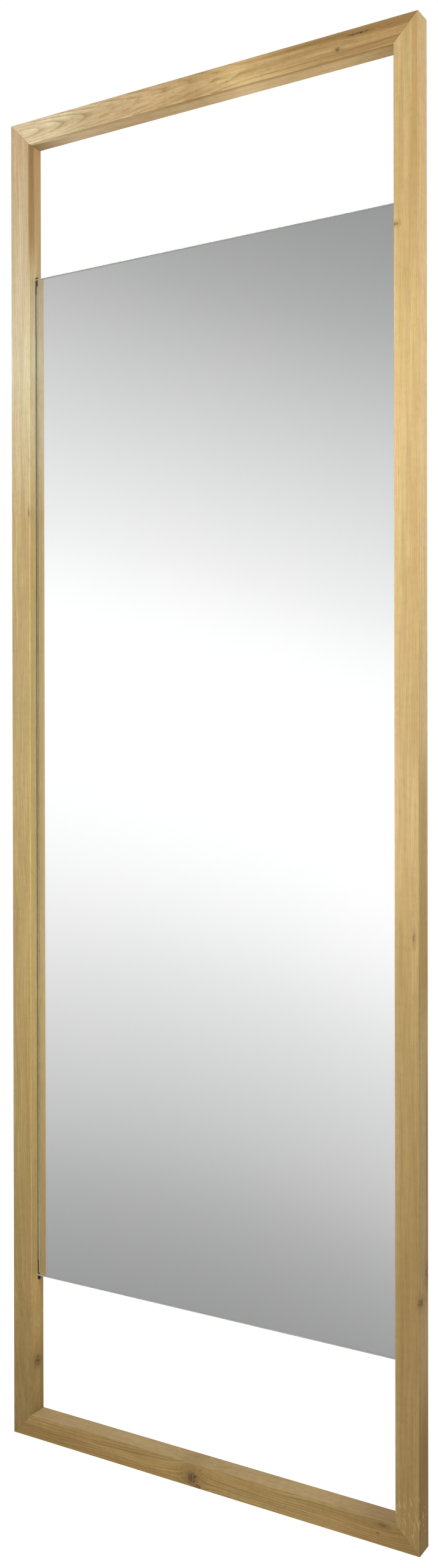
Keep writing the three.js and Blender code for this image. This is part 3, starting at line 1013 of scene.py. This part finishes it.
# ---- The tapes ----
# Four strips of double-sided tape bond the board to the pane, and a strip in each groove keeps the
# glass off the wood. White polyester film with adhesive on both faces, so slightly cloudy.
tape_film, tree, surface = new_material("white_polyester_tape")
coords = add_node(tree, "ShaderNodeTexCoord")
long_grain = add_node(
    tree, "ShaderNodeMapping", links={"Vector": coords.outputs["Object"], "Scale": (900, 900, 60)}
)
cloudy = add_node(
    tree, "ShaderNodeTexNoise", links={"Vector": long_grain.outputs[0], "Scale": 1.0, "Detail": 3.0}
)
shade = add_node(
    tree,
    "ShaderNodeValToRGB",
    links={"Fac": cloudy.outputs["Fac"]},
    stops=[(0.3, "E2DED3"), (0.7, "F1EFE8")],
)
bump = add_node(
    tree,
    "ShaderNodeBump",
    links={"Height": cloudy.outputs["Fac"], "Strength": 0.3, "Distance": 0.05 * MM},
)
bsdf = add_node(
    tree,
    "ShaderNodeBsdfPrincipled",
    links={"Base Color": shade.outputs[0], "Roughness": 0.48, "Normal": bump.outputs[0]},
)
tree.links.new(bsdf.outputs[0], surface)
for strip in range(1, 5):
    refinish(f"bond_tape_{strip}", tape_film)
for side_name, _ in SIDES:
    refinish(f"glazing_tape_{side_name}", tape_film)


# ---- The rubber parts ----
# A setting block of black glazing rubber stands at the foot of each groove, under the glass. Four
# moulded buttons, glued to the rails' backs, keep the frame off the wall.
BUMPER_PROFILE = (  # mm from the button's axis, and mm up from the wood
    (0.0, 0.0),
    (5.7, 0.0),
    (6.0, 0.3),
    (6.0, 2.0),
    (5.92, 2.4),
    (5.7, 2.7),
    (5.4, 2.9),
    (5.0, 3.0),
    (3.6, 3.0),
    (3.3, 2.93),
    (3.05, 2.72),
    (2.7, 2.62),
    (0.0, 2.55),
)


def rubber(name, dark, light, rough):
    """Moulded rubber: almost black, dull, and finely pitted where dust collects."""
    material, tree, surface = new_material(name)
    coords = add_node(tree, "ShaderNodeTexCoord")
    pits = add_node(
        tree,
        "ShaderNodeTexNoise",
        links={"Vector": coords.outputs["Object"], "Scale": 1500.0, "Detail": 3.0},
    )
    shade = add_node(
        tree,
        "ShaderNodeValToRGB",
        links={"Fac": pits.outputs["Fac"]},
        stops=[(0.35, dark), (0.7, light)],
    )
    bump = add_node(
        tree,
        "ShaderNodeBump",
        links={"Height": pits.outputs["Fac"], "Strength": 0.3, "Distance": 0.05 * MM},
    )
    bsdf = add_node(
        tree,
        "ShaderNodeBsdfPrincipled",
        links={"Base Color": shade.outputs[0], "Roughness": rough, "Normal": bump.outputs[0]},
    )
    tree.links.new(bsdf.outputs[0], surface)
    return material


glazing_rubber = rubber("extruded_glazing_rubber", "171614", "24221F", 0.62)
button_rubber = rubber("moulded_button_rubber", "262422", "3A3633", 0.74)
for side_name, _ in SIDES:
    refinish(f"setting_block_{side_name}", glazing_rubber)

for end_name, _ in ENDS:
    for side_name, _ in SIDES:
        low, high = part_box(f"wall_bumper_{end_name}_{side_name}")
        middle = Vector(((low.x + high.x) / 2, low.y, (low.z + high.z) / 2))
        bm = bmesh.new()
        places = [middle + Vector((r, rise, 0)) * MM for r, rise in BUMPER_PROFILE]
        outline = [bmesh.ops.create_vert(bm, co=place)["vert"][0] for place in places]
        edges = [bm.edges.new(pair) for pair in zip(outline, outline[1:])]
        bmesh.ops.spin(
            bm,
            geom=outline + edges,
            axis=(0, 1, 0),
            cent=middle,
            angle=2 * pi,
            steps=48,
            use_merge=True,
        )
        bmesh.ops.remove_doubles(bm, verts=bm.verts, dist=TOUCHING)
        bmesh.ops.recalc_face_normals(bm, faces=bm.faces)
        button = new_object(f"rubber_button_{end_name}_{side_name}", bm, button_rubber)
        button.data.shade_smooth()
        button.data.set_sharp_from_angle(angle=radians(40))
        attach(button, "frame")
        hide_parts(f"wall_bumper_{end_name}_{side_name}")


# ---- The hangers ----
# On the back of each stile a folded steel strap, held by two pan-head wood screws, keeps a D ring
# of bent wire that swings in its fold. All of it is pressed or drawn steel with bright zinc plating.


def zinc(name, dull, bright, smooth, rough):
    """Bright zinc plating: cool silver, a little cloudy, with fine drawing marks."""
    material, tree, surface = new_material(name)
    coords = add_node(tree, "ShaderNodeTexCoord")
    cloud = add_node(
        tree,
        "ShaderNodeTexNoise",
        links={"Vector": coords.outputs["Object"], "Scale": 160.0, "Detail": 2.0},
    )
    drawn = add_node(
        tree,
        "ShaderNodeMapping",
        links={"Vector": coords.outputs["Object"], "Scale": (5000, 5000, 500)},
    )
    marks = add_node(
        tree, "ShaderNodeTexNoise", links={"Vector": drawn.outputs[0], "Scale": 1.0, "Detail": 2.0}
    )
    shade = add_node(
        tree,
        "ShaderNodeValToRGB",
        links={"Fac": cloud.outputs["Fac"]},
        stops=[(0.35, dull), (0.65, bright)],
    )
    gloss = add_node(
        tree,
        "ShaderNodeMapRange",
        links={"Value": cloud.outputs["Fac"], "To Min": smooth, "To Max": rough},
    )
    bump = add_node(
        tree,
        "ShaderNodeBump",
        links={"Height": marks.outputs["Fac"], "Strength": 0.12, "Distance": 0.02 * MM},
    )
    bsdf = add_node(
        tree,
        "ShaderNodeBsdfPrincipled",
        links={
            "Base Color": shade.outputs[0],
            "Metallic": 1.0,
            "Roughness": gloss.outputs[0],
            "Normal": bump.outputs[0],
        },
    )
    tree.links.new(bsdf.outputs[0], surface)
    return material


zinc_strap = zinc("zinc_plated_strap", "B4B9BE", "CDD1D4", 0.28, 0.42)
zinc_wire = zinc("zinc_plated_wire", "BCC0C4", "D3D6D8", 0.2, 0.34)
zinc_screw = zinc("zinc_plated_screw", "B0B2B0", "CBCCC8", 0.24, 0.38)
for side_name, _ in SIDES:
    refinish(f"hanger_strap_{side_name}", zinc_strap)
    refinish(f"hanger_ring_{side_name}", zinc_wire)
    for place in ("lower", "upper"):
        refinish(f"hanger_screw_{side_name}_{place}", zinc_screw)
